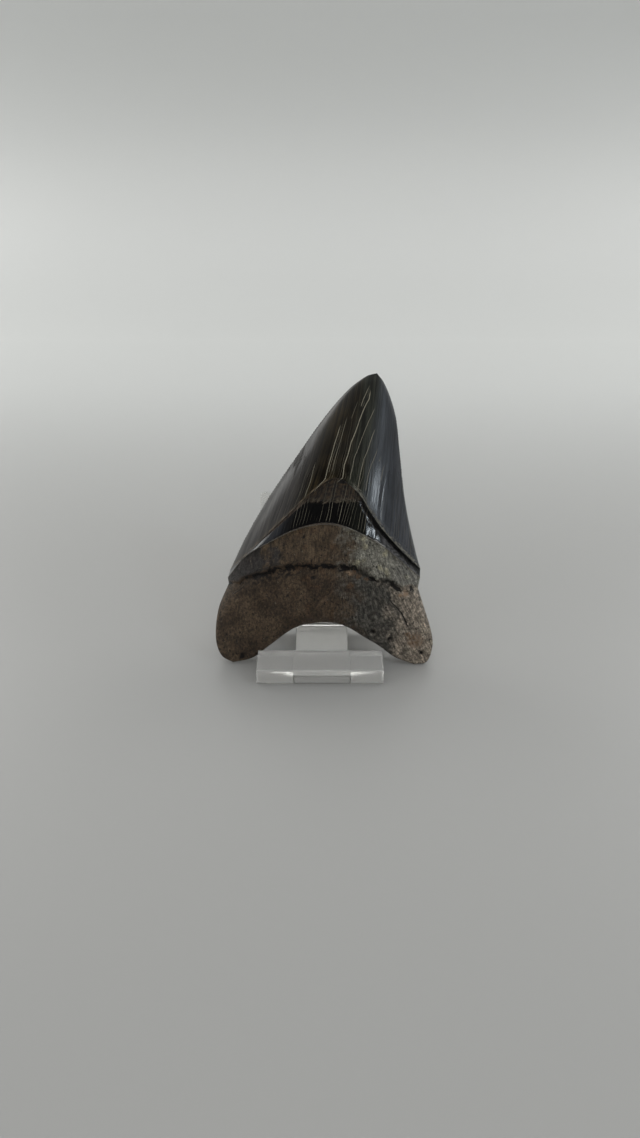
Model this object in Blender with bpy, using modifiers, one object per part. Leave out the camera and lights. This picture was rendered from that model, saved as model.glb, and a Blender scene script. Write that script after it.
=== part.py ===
"""A fossil megalodon tooth leaning on a clear acrylic stand.

Four loose pieces: the tooth, a front block that its root sits behind, a base bar
that runs back under the root's arch, and a leaning back plate.  World units are
metres, +Z is up and -Y faces the viewer.  The origin is on the floor, under the
base bar.  Every driving size below is in millimetres.
"""
import math

import bmesh
import bpy
from mathutils import Vector

MM = 0.001

# ------------------------------------------------------------------ the stand
GAP = 0.3                   # daylight left between neighbouring pieces

BAR_WIDTH = 22.2            # seven eighths of an inch of 3.2 mm sheet
BAR_THICKNESS = 3.2
BAR_LENGTH = 78.0
BAR_SHIFT = 0.8             # the bar is glued a little off centre

BLOCK_WIDTH = 51.0
BLOCK_DEPTH = 14.6
BLOCK_HEIGHT = 6.35
POLISH_RADIUS = 0.4         # flame-polished edges of all three acrylic pieces

PLATE_WIDTH = 51.0
PLATE_THICKNESS = 3.0
PLATE_TOP = 59.3            # height of its top front edge over the floor
PLATE_LEAN = math.radians(17.0)
PLATE_CORNER = 1.8

FRONT_Y = -BAR_LENGTH / 2   # front face of the block and end of the bar

# ------------------------------------------------------------------ the tooth
TOOTH_LEAN = math.radians(23.0)
TOOTH_Y = FRONT_Y + 32.0    # foot of the plane that its flat back lies in
TOOTH_Z = 5.0

# Plan outline of the tooth in its own plane: (across, up), from the front.
TIP = (23.8, 108.2)
ROOT_BASE = [(-36.0, -11.4), (-28.0, -9.6), (-20.8, -4.4), (-11.5, 2.2), (-3.5, 5.2),
             (5.5, 5.4), (12.0, 2.7), (18.0, -0.9), (24.0, -4.4), (31.0, -9.3), (39.0, -12.2)]
LEFT_ROOT = [(-36.0, -11.4), (-40.4, -9.0), (-42.8, -3.8), (-43.1, 4.0), (-41.8, 12.0),
             (-38.2, 20.8)]
RIGHT_ROOT = [(39.0, -12.2), (44.2, -11.2), (46.6, -4.5), (46.0, 1.5), (43.3, 11.0), (41.0, 19.0)]
LEFT_BLADE = [(-37.8, 26.0), (-30.7, 40.6), (-21.0, 57.0), (-10.1, 73.0), (1.3, 89.0),
              (11.5, 101.0), (19.4, 107.0), TIP]
RIGHT_BLADE = [(42.2, 26.5), (40.2, 34.0), (36.8, 49.0), (34.6, 63.0), (33.0, 78.0),
               (31.8, 89.0), (29.6, 97.5), (26.6, 104.6), TIP]

# Lines that cross the front (lingual) face between those edges.
GROOVE = [(-38.2, 20.8), (-33.0, 22.4), (-24.5, 25.4), (-9.0, 28.6), (0.0, 28.0), (10.5, 28.6),
          (18.0, 25.4), (30.0, 20.8), (41.0, 19.0)]
BAND_FOOT = [(-38.7, 23.0), (-30.0, 33.0), (-21.0, 38.2), (-12.6, 42.5), (-4.5, 45.0), (3.2, 45.7),
             (10.5, 44.2), (18.0, 41.0), (24.7, 37.3), (33.0, 30.7), (42.1, 23.0)]
ENAMEL_FOOT = [(-37.8, 26.0), (-29.5, 33.8), (-20.3, 42.6), (-12.6, 50.0), (-5.7, 56.5), (2.5, 63.0),
               (6.5, 64.3), (10.0, 63.2), (16.3, 57.4), (20.7, 50.1), (26.3, 42.5), (33.5, 34.7),
               (42.2, 26.5)]

# Lines that cross the flat back (labial) face between the same ends.
BACK_GROOVE = [(-38.2, 20.8), (-22.0, 17.0), (2.0, 18.5), (24.0, 16.5), (41.0, 19.0)]
BACK_ENAMEL_LOW = [(-38.7, 23.0), (-24.0, 24.0), (-8.0, 30.0), (3.0, 32.5), (13.0, 30.0),
                   (27.0, 24.0), (42.1, 23.0)]
BACK_ENAMEL = [(-37.8, 26.0), (-24.0, 25.4), (-8.0, 31.4), (3.0, 34.0), (13.0, 31.4),
               (27.0, 25.4), (42.2, 26.5)]

# Height over the plane of the back, as (up, height) pairs.
EDGE_HEIGHT = [(-12.0, 14.6), (5.0, 12.6), (20.0, 7.0), (30.0, 5.2), (50.0, 4.0), (80.0, 2.5),
               (108.2, 1.0)]
FRONT_HEIGHT = [(-12.0, 17.0), (0.0, 19.2), (14.0, 20.8), (28.0, 21.6), (45.0, 18.4), (64.0, 13.6),
                (80.0, 9.6), (95.0, 5.6), (104.0, 2.9), (108.2, 1.0)]
BACK_HEIGHT = [(-12.0, 6.0), (-4.0, 2.6), (6.0, 0.9), (18.0, 0.0), (95.0, 0.0), (108.2, 1.0)]

ENAMEL_STEP = 0.45          # how far the enamel stands over the band below it
BAND_STEP = 0.5             # how far that band stands over the root
GROOVE_DEPTH = 1.3
SERRATION_PITCH = 1.2
SERRATION_DEPTH = 0.4

# Pits in the root's front: (across, up, radius, depth).
PITS = [(22.5, 3.0, 2.2, 1.5), (40.5, -5.0, 1.9, 1.1), (-12.0, 14.0, 1.8, 0.9), (5.0, 11.0, 1.5, 0.9),
        (31.5, 14.0, 1.9, 1.0), (-30.0, 8.0, 2.0, 0.9), (14.0, 20.0, 1.6, 0.8), (-37.5, 0.0, 1.8, 0.9)]

COLUMNS = 50                # grid squares across the tooth
ROOT_ROWS = 13              # and up it, from the base to the groove
COLLAR_ROWS = (0.12, 0.35, 0.65, 0.96, 1.0)
BAND_ROWS = (0.27, 0.5, 0.72, 0.95, 1.0)
CROWN_ROWS = 20


# ------------------------------------------------------------------ set-up
def clear_scene():
    for obj in list(bpy.data.objects):
        bpy.data.objects.remove(obj, do_unlink=True)


def new_collection(name, cutters=False):
    collection = bpy.data.collections.new(name)
    bpy.context.scene.collection.children.link(collection)
    collection.hide_render = cutters
    return collection


def principled(name, color, roughness, transmission=0.0, ior=1.5):
    material = bpy.data.materials.new(name)
    material.use_nodes = True
    shader = material.node_tree.nodes["Principled BSDF"]
    shader.inputs["Base Color"].default_value = (*color, 1.0)
    shader.inputs["Roughness"].default_value = roughness
    shader.inputs["Metallic"].default_value = 0.0
    shader.inputs["Transmission Weight"].default_value = transmission
    shader.inputs["IOR"].default_value = ior
    return material


def add_mesh_object(name, bm, collection, material):
    mesh = bpy.data.meshes.new(name)
    bm.to_mesh(mesh)
    bm.free()
    obj = bpy.data.objects.new(name, mesh)
    collection.objects.link(obj)
    if material:
        mesh.materials.append(material)
    return obj


def box(name, size, centre, collection, material):
    """A box of the given size in millimetres, with its scale already applied."""
    bm = bmesh.new()
    bmesh.ops.create_cube(bm, size=MM)
    bmesh.ops.scale(bm, vec=Vector(size), verts=bm.verts)
    obj = add_mesh_object(name, bm, collection, material)
    obj.location = Vector(centre) * MM
    return obj


def polish_edges(obj):
    bevel = obj.modifiers.new("polished edges", "BEVEL")
    bevel.width = POLISH_RADIUS * MM
    bevel.segments = 2
    bevel.limit_method = "ANGLE"
    bevel.angle_limit = math.radians(30)


# ------------------------------------------------------------------ curves
def between(pairs, x):
    """Straight-line reading of a short list of (x, value) pairs."""
    if x <= pairs[0][0]:
        return pairs[0][1]
    for (x0, y0), (x1, y1) in zip(pairs, pairs[1:]):
        if x <= x1:
            return y0 + (y1 - y0) * (x - x0) / (x1 - x0)
    return pairs[-1][1]


def along(points, f):
    """The point a fraction f along a smooth curve through the points."""
    points = [Vector(p) for p in points]
    lengths = [(b - a).length for a, b in zip(points, points[1:])]
    target = f * sum(lengths)
    k = 0
    while k < len(lengths) - 1 and target > lengths[k]:
        target -= lengths[k]
        k += 1
    here, there = points[k], points[k + 1]
    before = points[k - 1] if k else here
    after = points[k + 2] if k + 2 < len(points) else there
    span = lengths[k]
    lead_in = (there - before) * span / (span + (here - before).length)
    lead_out = (after - here) * span / (span + (after - there).length)
    x = min(max(target / span, 0.0), 1.0)
    return (here * (2 * x**3 - 3 * x**2 + 1) + lead_in * (x**3 - 2 * x**2 + x)
            + there * (3 * x**2 - 2 * x**3) + lead_out * (x**3 - x**2))


def rounded(x, power):
    """0 at an edge, rising steeply and levelling out at 1."""
    x = min(max(x, 0.0), 1.0)
    return (1 - (1 - x) ** power) ** (1 / power)


def ramp(x):
    x = min(max(x, 0.0), 1.0)
    return x * x * (3 - 2 * x)


# ------------------------------------------------------------------ the tooth's two faces
ROOT, COLLAR, BAND, CROWN = range(4)    # the four patches of the plan, base to tip


def patch(lower, upper, left, right, s, t):
    """A point of the plan between two crossing lines and two side edges."""
    low, high = along(lower, s), along(upper, s)
    low_left, low_right = Vector(lower[0]), Vector(lower[-1])
    high_left, high_right = Vector(upper[0]), Vector(upper[-1])
    point = low.lerp(high, t)
    point += (1 - s) * (along(left, t) - low_left.lerp(high_left, t))
    point += s * (along(right, t) - low_right.lerp(high_right, t))
    return point


def plan_rows():
    """Rows from the root's base to the tip, as (patch number, fraction across that patch)."""
    root = [j / ROOT_ROWS for j in range(ROOT_ROWS + 1)]
    rows = [(ROOT, 0.65 * f + 0.35 * ramp(f)) for f in root]
    rows += [(COLLAR, f) for f in COLLAR_ROWS]
    rows += [(BAND, f) for f in BAND_ROWS]
    rows += [(CROWN, (j / CROWN_ROWS) ** 0.95) for j in range(1, CROWN_ROWS + 1)]
    return rows


def plan_point(lines, row, s):
    zone, t = row
    base, groove, band, enamel = lines
    if zone == ROOT:
        return patch(base, groove, LEFT_ROOT, RIGHT_ROOT, s, t)
    if zone == COLLAR:
        return patch(groove, band, [groove[0], band[0]], [groove[-1], band[-1]], s, t)
    if zone == BAND:
        return patch(band, enamel, [band[0], enamel[0]], [band[-1], enamel[-1]], s, t)
    return patch(enamel, [TIP, (TIP[0] + 1e-6, TIP[1])], LEFT_BLADE, RIGHT_BLADE, s, t)


def crossing(s, root_share):
    """How full the section is at s: a fat slab in the root, a lens in the blade."""
    off = min(abs(2 * s - 1), 1.0)
    slab = (1 - off**4) ** 0.42
    lens = (1 - off**2) ** 0.85
    return lens + (slab - lens) * root_share


def front_height(row, s, point, base_distance):
    zone, t = row
    root_share = {ROOT: 1.0, COLLAR: 1.0 - 0.4 * t, BAND: 0.6 - 0.4 * t, CROWN: 0.2 * (1 - t)}[zone]
    edge = between(EDGE_HEIGHT, point.y)
    lip = rounded(base_distance / 8.0, 2.2)
    full = crossing(s, root_share) * lip
    height = edge + (between(FRONT_HEIGHT, point.y) - edge) * full
    inside = rounded(4 * min(s, 1 - s), 2.0) * lip
    if row < (COLLAR, 1.0):
        height += lumps(point) * full - BAND_STEP * inside
        for across, up, radius, depth in PITS:
            away = (point - Vector((across, up))).length / radius
            height -= depth * math.exp(-away * away) * full
    if row == (ROOT, 1.0):
        raggedness = 0.75 + 0.25 * math.sin(point.x * 0.9) * math.sin(point.x * 0.37 + 1.0)
        height -= GROOVE_DEPTH * raggedness * inside
    if row < (BAND, 1.0):
        height -= ENAMEL_STEP * inside
    return height


def back_height(row, s, point, base_distance):
    edge = between(EDGE_HEIGHT, point.y)
    off = min(abs(2 * s - 1), 1.0)
    lip = rounded(base_distance / 12.0, 1.3)
    full = (1 - off**5) ** (0.45 if row[0] == ROOT else 0.8) * lip
    height = edge + (between(BACK_HEIGHT, point.y) - edge) * full
    inside = rounded(4 * min(s, 1 - s), 2.0) * lip
    if row < (BAND, 1.0):
        height += (ENAMEL_STEP - lumps(point)) * inside
    return height


def lumps(point):
    """The root's low, uneven swelling."""
    x, y = point
    return (0.45 * math.sin(0.23 * x + 0.9) * math.sin(0.31 * y + 0.4)
            + 0.3 * math.sin(0.52 * x - 0.21 * y) + 0.22 * math.sin(0.95 * x + 0.37 * y + 2.0))


def add_sheet(bm, rows, lines, height_of):
    """One face of the tooth: a grid with its vertices moved to their places."""
    sheet = bmesh.ops.create_grid(bm, x_segments=COLUMNS, y_segments=len(rows) - 1, size=0.5)
    for vert in sheet["verts"]:
        s = (1 - math.cos(math.pi * (vert.co.x + 0.5))) / 2
        row = rows[round((vert.co.y + 0.5) * (len(rows) - 1))]
        point = plan_point(lines, row, s)
        base_distance = (point - plan_point(lines, (ROOT, 0.0), s)).length
        height = height_of(row, s, point, base_distance)
        vert.co = Vector((point.x, -height, point.y)) * MM


def cut_serrations(bm):
    """Fine teeth along both cutting edges, from the shoulders to just under the tip."""
    foot, head = 24.0 * MM, 106.0 * MM
    rim = [e for e in bm.edges if e.seam and foot < min(v.co.z for v in e.verts)
           and max(v.co.z for v in e.verts) < head]
    for edge in rim:
        start = min(edge.verts, key=lambda v: v.co.z)
        end = edge.other_vert(start)
        run = end.co - start.co
        side = -1 if start.co.x < 15 * MM and run.x > 0 else 1
        outward = Vector((run.z, 0, -run.x)).normalized() * side
        teeth = max(1, round(run.length / (SERRATION_PITCH * MM)))
        pieces = 2 * teeth
        for k in range(1, pieces):
            edge, vert = bmesh.utils.edge_split(edge, start, 1 / (pieces - k + 1))
            edge = next(e for e in vert.link_edges if end in e.verts)
            start = vert
            if k % 2:
                vert.co += outward * SERRATION_DEPTH * MM


def make_tooth(collection):
    rows = plan_rows()
    bm = bmesh.new()
    add_sheet(bm, rows, (ROOT_BASE, GROOVE, BAND_FOOT, ENAMEL_FOOT), front_height)
    add_sheet(bm, rows, (ROOT_BASE, BACK_GROOVE, BACK_ENAMEL_LOW, BACK_ENAMEL), back_height)
    for edge in bm.edges:
        edge.seam = edge.is_boundary
    bmesh.ops.remove_doubles(bm, verts=bm.verts, dist=0.00001)
    cut_serrations(bm)
    bmesh.ops.triangulate(bm, faces=[f for f in bm.faces if len(f.verts) > 4])
    bmesh.ops.recalc_face_normals(bm, faces=bm.faces)
    fossil = principled("fossil", (0.045, 0.04, 0.038), 0.35)
    tooth = add_mesh_object("tooth", bm, collection, fossil)
    tooth.rotation_euler.x = -TOOTH_LEAN
    tooth.location = Vector((0, TOOTH_Y, TOOTH_Z)) * MM
    bpy.context.view_layer.update()
    tooth.location.z -= min((tooth.matrix_world @ v.co).z for v in tooth.data.vertices)
    bpy.context.view_layer.update()
    return tooth


# ------------------------------------------------------------------ the acrylic pieces
def make_base_bar(collection, acrylic):
    bar = box("base_bar", (BAR_WIDTH, BAR_LENGTH, BAR_THICKNESS),
              (BAR_SHIFT, 0, BAR_THICKNESS / 2), collection, acrylic)
    polish_edges(bar)


def make_front_block(collection, cutters, acrylic):
    """The block bridges the bar: a channel in its underside takes the bar's end."""
    block = box("front_block", (BLOCK_WIDTH, BLOCK_DEPTH, BLOCK_HEIGHT),
                (0, FRONT_Y + BLOCK_DEPTH / 2, BLOCK_HEIGHT / 2), collection, acrylic)
    channel = box("bar_channel", (BAR_WIDTH + 2 * GAP, BLOCK_DEPTH * 2, 2 * (BAR_THICKNESS + GAP)),
                  (BAR_SHIFT, FRONT_Y + BLOCK_DEPTH / 2, 0), cutters, None)
    channel.display_type = "WIRE"
    channel.hide_render = True
    cut = block.modifiers.new("bar channel", "BOOLEAN")
    cut.operation = "DIFFERENCE"
    cut.solver = "EXACT"
    cut.object = channel
    polish_edges(block)


def make_back_plate(collection, acrylic, tooth):
    """The plate leans back on the bar, its top front edge just behind the tooth."""
    length = (PLATE_TOP - BAR_THICKNESS - GAP) / math.cos(PLATE_LEAN)
    plate = box("back_plate", (PLATE_WIDTH, PLATE_THICKNESS, length), (0, 0, 0), collection, acrylic)
    bm = bmesh.new()
    bm.from_mesh(plate.data)
    for vert in bm.verts:
        vert.co += Vector((0, PLATE_THICKNESS, length)) * MM / 2
        if vert.co.z < length * MM / 2:
            vert.co.z = vert.co.y * math.tan(PLATE_LEAN)
    corners = [e for e in bm.edges if all(v.co.z > length * MM / 2 for v in e.verts)
               and abs(e.verts[0].co.y - e.verts[1].co.y) > PLATE_THICKNESS * MM / 2]
    bmesh.ops.bevel(bm, geom=corners, offset=PLATE_CORNER * MM, segments=5, profile=0.5, affect="EDGES")
    bm.to_mesh(plate.data)
    bm.free()
    plate.rotation_euler.x = -PLATE_LEAN
    tooth_z = tooth.location.z / MM
    rest_y = TOOTH_Y + (PLATE_TOP - tooth_z) * math.tan(TOOTH_LEAN) + GAP / math.cos(TOOTH_LEAN)
    foot_y = rest_y - length * math.sin(PLATE_LEAN)
    plate.location = Vector((0, foot_y, BAR_THICKNESS + GAP)) * MM
    polish_edges(plate)


def build():
    clear_scene()
    whole = new_collection("megalodon_tooth_on_stand")
    cutters = new_collection("cutters", cutters=True)
    acrylic = principled("acrylic", (0.93, 0.95, 0.95), 0.03, transmission=1.0, ior=1.49)
    tooth = make_tooth(whole)
    make_base_bar(whole, acrylic)
    make_front_block(whole, cutters, acrylic)
    make_back_plate(whole, acrylic, tooth)


build()
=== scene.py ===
import math

import bmesh
import bpy
import numpy as np
from mathutils import Matrix, Vector, noise


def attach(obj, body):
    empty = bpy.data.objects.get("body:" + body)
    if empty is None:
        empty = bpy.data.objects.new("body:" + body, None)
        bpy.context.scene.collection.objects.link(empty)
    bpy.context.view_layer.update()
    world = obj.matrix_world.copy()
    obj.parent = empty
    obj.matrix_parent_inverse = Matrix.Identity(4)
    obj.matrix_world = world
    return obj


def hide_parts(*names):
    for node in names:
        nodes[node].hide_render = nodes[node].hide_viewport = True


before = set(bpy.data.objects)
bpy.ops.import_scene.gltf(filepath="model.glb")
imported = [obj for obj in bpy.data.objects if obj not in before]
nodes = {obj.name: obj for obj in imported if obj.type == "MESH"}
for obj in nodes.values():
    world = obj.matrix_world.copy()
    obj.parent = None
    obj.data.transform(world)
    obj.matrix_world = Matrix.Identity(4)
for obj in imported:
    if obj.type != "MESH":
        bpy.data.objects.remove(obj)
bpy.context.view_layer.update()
scene = bpy.context.scene
scene.view_settings.view_transform = "Standard"


# ---------------------------------------------------------------- studio
# A sheet of paper, grey where the stand is and paler from just behind it back to where it
# curves up; that paler grade is partly painted light, lifting the floor the tooth shades behind
# the stand. A tall narrow window and a second pane to the right draw the highlights
# down the enamel; broad dim panels in front, at the left and behind fill the rest.
FLOOR_DROP = 0.0003
SWEEP_WIDTH = 3.6
SWEEP_FRONT = -0.9
SWEEP_FOOT = 0.55
SWEEP_RADIUS = 0.30
SWEEP_TOP = 1.6
SWEEP_STEPS = 16
FLOOR_GREY = (0.37, 0.37, 0.36)
BACK_GREY_AND_LIGHT = (0.55, 0.56, 0.55)
GRADE_END = 0.42            # how far back the paper reaches its paler grey
PAPER_ROUGHNESS = 0.42
ROOM_DIM, ROOM_BRIGHT = 0.06, 0.6
DIM_FROM, BRIGHT_FROM = -0.72, 0.05     # the y of the direction that is looked along
LENS_MM = 27.05
SENSOR_MM = 36.0
CAMERA_PLACE = (0, -0.3194, 0.201)
CAMERA_DOWN = 28


def paint(name, color, roughness):
    material = bpy.data.materials.new(name)
    material.use_nodes = True
    shader = material.node_tree.nodes["Principled BSDF"]
    shader.inputs["Base Color"].default_value = (*color, 1)
    shader.inputs["Roughness"].default_value = roughness
    return material


def paper_painted_lighter_behind():
    paper = paint("paper painted lighter behind", FLOOR_GREY, PAPER_ROUGHNESS)
    tree = paper.node_tree
    place = tree.nodes.new("ShaderNodeTexCoord")
    parts = tree.nodes.new("ShaderNodeSeparateXYZ")
    tree.links.new(place.outputs["Object"], parts.inputs[0])
    # paler from just behind the stand back: partly painted light on the floor the tooth shades
    grade = tree.nodes.new("ShaderNodeMapRange")
    grade.interpolation_type = "SMOOTHSTEP"
    grade.inputs["From Min"].default_value = 0.0
    grade.inputs["From Max"].default_value = GRADE_END
    tree.links.new(parts.outputs["Y"], grade.inputs["Value"])
    mix = tree.nodes.new("ShaderNodeMix")
    mix.data_type = "RGBA"
    mix.inputs[6].default_value = (*FLOOR_GREY, 1)
    mix.inputs[7].default_value = (*BACK_GREY_AND_LIGHT, 1)
    tree.links.new(grade.outputs["Result"], mix.inputs["Factor"])
    tree.links.new(mix.outputs[2], tree.nodes["Principled BSDF"].inputs["Base Color"])
    return paper


def pale_sweep():
    profile = [(SWEEP_FRONT, 0.0), (SWEEP_FOOT, 0.0)]
    for k in range(1, SWEEP_STEPS + 1):
        turn = math.radians(90 * k / SWEEP_STEPS)
        profile.append((SWEEP_FOOT + SWEEP_RADIUS * math.sin(turn), SWEEP_RADIUS * (1 - math.cos(turn))))
    profile.append((SWEEP_FOOT + SWEEP_RADIUS, SWEEP_TOP))
    bm = bmesh.new()
    sides = [[bm.verts.new((x, y, z - FLOOR_DROP)) for y, z in profile]
             for x in (-SWEEP_WIDTH / 2, SWEEP_WIDTH / 2)]
    for k in range(len(profile) - 1):
        face = bm.faces.new((sides[0][k], sides[1][k], sides[1][k + 1], sides[0][k + 1]))
        face.smooth = True
    mesh = bpy.data.meshes.new("sweep")
    bm.to_mesh(mesh)
    bm.free()
    sweep = bpy.data.objects.new("sweep", mesh)
    scene.collection.objects.link(sweep)
    mesh.materials.append(paper_painted_lighter_behind())


def panel_light(name, place, target, size, brightness, color, spread=180):
    """A rectangular light of this size and brightness, whatever its area."""
    data = bpy.data.lights.new(name, "AREA")
    data.shape = "RECTANGLE"
    data.size, data.size_y = size
    data.energy = brightness * math.pi * size[0] * size[1]
    data.color = color
    data.spread = math.radians(spread)
    lamp = bpy.data.objects.new(name, data)
    scene.collection.objects.link(lamp)
    lamp.location = place
    lamp.rotation_euler = (Vector(target) - Vector(place)).to_track_quat("-Z", "Y").to_euler()


def room_light():
    """A room that is dim behind the viewer and lighter to the sides and the back."""
    world = bpy.data.worlds.new("room")
    scene.world = world
    world.use_nodes = True
    tree = world.node_tree
    background = tree.nodes["Background"]
    direction = tree.nodes.new("ShaderNodeTexCoord")
    parts = tree.nodes.new("ShaderNodeSeparateXYZ")
    tree.links.new(direction.outputs["Generated"], parts.inputs[0])
    to_light = tree.nodes.new("ShaderNodeMapRange")
    to_light.interpolation_type = "SMOOTHSTEP"
    to_light.inputs["From Min"].default_value = DIM_FROM
    to_light.inputs["From Max"].default_value = BRIGHT_FROM
    to_light.inputs["To Min"].default_value = ROOM_DIM
    to_light.inputs["To Max"].default_value = ROOM_BRIGHT
    tree.links.new(parts.outputs["Y"], to_light.inputs["Value"])
    tree.links.new(to_light.outputs["Result"], background.inputs["Color"])
    background.inputs["Strength"].default_value = 1.0


pale_sweep()
room_light()
panel_light("window", (0.655, -0.375, 0.605), (0.02, 0, 0.06), (0.028, 0.13), 24.0, (0.86, 0.94, 1.0))
panel_light("window glow", (0.646, -0.422, 0.716), (0.02, 0, 0.06), (0.16, 0.20), 2.6, (0.74, 0.88, 1.0))
panel_light("side pane", (0.571, -0.344, 0.615), (0.02, 0, 0.05), (0.05, 0.10), 15.0, (0.88, 0.95, 1.0))
panel_light("left panel", (-0.75, -0.55, 0.45), (0, 0, 0.05), (0.6, 0.6), 0.8, (0.97, 0.99, 1.0))
panel_light("back wash", (0, 0.25, 1.2), (0, 0.85, 0.35), (1.6, 0.4), 0.5, (1.0, 1.0, 0.99), spread=80)
panel_light("front fill", (0, -0.82, 0.38), (0, 0, 0.02), (0.7, 0.22), 5.0, (1.0, 0.99, 0.96))
panel_light("low light, back left", (-0.66, 0.56, 0.46), (0, 0.02, 0), (0.5, 0.5), 2.2, (1.0, 1.0, 0.98))
panel_light("low light, back right", (0.68, 0.50, 0.46), (0, 0.02, 0), (0.5, 0.5), 2.2, (1.0, 1.0, 0.98))
panel_light("sky panel", (0, 0.78, 0.62), (0, 0, 0.03), (1.8, 0.55), 1.7, (1.0, 1.0, 0.985))

camera_data = bpy.data.cameras.new("camera")
camera_data.sensor_width = SENSOR_MM
camera_data.lens = LENS_MM
camera_data.clip_start = 0.01
camera = bpy.data.objects.new("camera", camera_data)
camera.location = CAMERA_PLACE
camera.rotation_euler = (math.radians(90 - CAMERA_DOWN), 0, 0)
scene.collection.objects.link(camera)
scene.camera = camera


# ---------------------------------------------------------------- fossil tooth
# One fossil: a glossy charcoal crown with fine teeth along both cutting edges, a
# black polished band under it, and a matt, pitted brown root with two lobes.
# It leans on the back plate with its convex face to the front.
MM = 0.001
LEAN = math.radians(23.0)
FOOT_PLACE = (0.0, -7.0, 5.0)    # where the plane of its flat back starts, in mm, before it is seated

# Plan of the tooth in its own plane, (across, up) in mm.
TIP = (23.8, 108.2)
ROOT_BASE = [(-36.0, -11.4), (-28.0, -9.6), (-20.8, -4.4), (-11.5, 2.2), (-3.5, 5.2),
             (5.5, 5.4), (12.0, 2.7), (18.0, -0.9), (24.0, -4.4), (31.0, -9.3), (39.0, -12.2)]
LEFT_ROOT = [(-36.0, -11.4), (-40.4, -9.0), (-42.8, -3.8), (-43.1, 4.0), (-41.8, 12.0),
             (-38.2, 20.8)]
RIGHT_ROOT = [(39.0, -12.2), (44.2, -11.2), (46.6, -4.5), (46.0, 1.5), (43.3, 11.0), (41.0, 19.0)]
LEFT_BLADE = [(-37.8, 26.0), (-30.7, 40.6), (-21.0, 57.0), (-10.1, 73.0), (1.3, 89.0),
              (11.5, 101.0), (19.4, 107.0), TIP]
RIGHT_BLADE = [(42.2, 26.5), (40.2, 34.0), (36.8, 49.0), (34.6, 63.0), (33.0, 78.0),
               (31.8, 89.0), (29.6, 97.5), (26.6, 104.6), TIP]
GROOVE = [(-38.2, 20.8), (-33.0, 22.4), (-24.5, 25.4), (-9.0, 28.6), (0.0, 28.0), (10.5, 28.6),
          (18.0, 25.4), (30.0, 20.8), (41.0, 19.0)]
BAND_FOOT = [(-38.7, 23.0), (-30.0, 33.0), (-21.0, 38.2), (-12.6, 42.5), (-4.5, 45.0), (3.2, 45.7),
             (10.5, 44.2), (18.0, 41.0), (24.7, 37.3), (33.0, 30.7), (42.1, 23.0)]
ENAMEL_FOOT = [(-37.8, 26.0), (-29.5, 33.8), (-20.3, 42.6), (-12.6, 50.0), (-5.7, 56.5), (2.5, 63.0),
               (6.5, 64.3), (10.0, 63.2), (16.3, 57.4), (20.7, 50.1), (26.3, 42.5), (33.5, 34.7),
               (42.2, 26.5)]
BACK_GROOVE = [(-38.2, 20.8), (-22.0, 17.0), (2.0, 18.5), (24.0, 16.5), (41.0, 19.0)]
BACK_BAND_FOOT = [(-38.7, 23.0), (-24.0, 24.0), (-8.0, 30.0), (3.0, 32.5), (13.0, 30.0),
                  (27.0, 24.0), (42.1, 23.0)]
BACK_ENAMEL_FOOT = [(-37.8, 26.0), (-24.0, 25.4), (-8.0, 31.4), (3.0, 34.0), (13.0, 31.4),
                    (27.0, 25.4), (42.2, 26.5)]

# Height over the plane of the back, (up, height) in mm.
EDGE_HEIGHT = [(-12.0, 14.6), (5.0, 12.6), (20.0, 7.0), (30.0, 5.2), (50.0, 4.0), (80.0, 2.5),
               (108.2, 1.0)]
FRONT_HEIGHT = [(-12.0, 17.0), (0.0, 19.2), (14.0, 20.8), (28.0, 21.6), (45.0, 18.4), (64.0, 13.6),
                (80.0, 9.6), (95.0, 5.6), (104.0, 2.9), (108.2, 1.0)]
BACK_HEIGHT = [(-12.0, 6.0), (-4.0, 2.6), (6.0, 0.9), (18.0, 0.0), (95.0, 0.0), (108.2, 1.0)]

ENAMEL_STEP = 0.45
BAND_STEP = 0.5
STEP_RUN = 0.7              # how far a step takes to fall
GROOVE_DEPTH = 1.3
FRONT_LIP, BACK_LIP = 8.0, 12.0     # how far up the root's rounded base reaches
# On the right the band slopes away to the side: where across, how steep, how fast that lessens,
# how far it goes on, and up to what height.
SLOPE_START, SLOPE, SLOPE_LOSS = 18.2, 0.22, 0.018
SLOPE_REACH = 6.6
SLOPE_TOP = 44.0
# The broken gap under the enamel's right edge.
GAP_DEPTH = 1.1
GAP_BELOW_EDGE, GAP_WIDTH = 1.7, 1.1
SERRATION_PITCH = 1.2
SERRATION_DEPTH = 0.34
# How much of the serrations is left at each height: worn off at the tip and low on the right.
LEFT_SERRATIONS = [(26.0, 0.35), (36.0, 0.9), (60.0, 1.0), (88.0, 0.7), (100.0, 0.3), (105.0, 0.0)]
RIGHT_SERRATIONS = [(26.0, 0.1), (55.0, 0.15), (60.0, 0.25), (64.0, 1.0), (86.0, 0.85), (97.0, 0.35),
                    (104.0, 0.0)]
PITS = [(21.8, 1.8, 1.6, 1.0), (41.5, -7.1, 1.2, 1.2), (28.4, -1.0, 1.4, 1.0), (-12.0, 14.0, 1.3, 0.5),
        (5.0, 11.0, 1.2, 0.5), (-30.0, 8.0, 1.5, 0.5), (13.5, 20.0, 1.3, 0.5), (-32.0, -8.5, 1.4, 0.9)]

ROOT, COLLAR, BAND, CROWN = range(4)
ZONE_ROWS = {ROOT: 66, COLLAR: 38, BAND: 36, CROWN: 280}
FRONT_COLUMNS = 150
BACK_COLUMNS = 75
RIM_SPLITS = 3              # rim points added between rows, for the fine teeth


def along(points, share):
    """Points at these shares of the length of a smooth curve through the points."""
    points = np.asarray(points, float)
    reach = np.concatenate([[0.0], np.cumsum(np.linalg.norm(np.diff(points, axis=0), axis=1))])
    return smooth_reading(reach, points, np.clip(share, 0, 1) * reach[-1])


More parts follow.
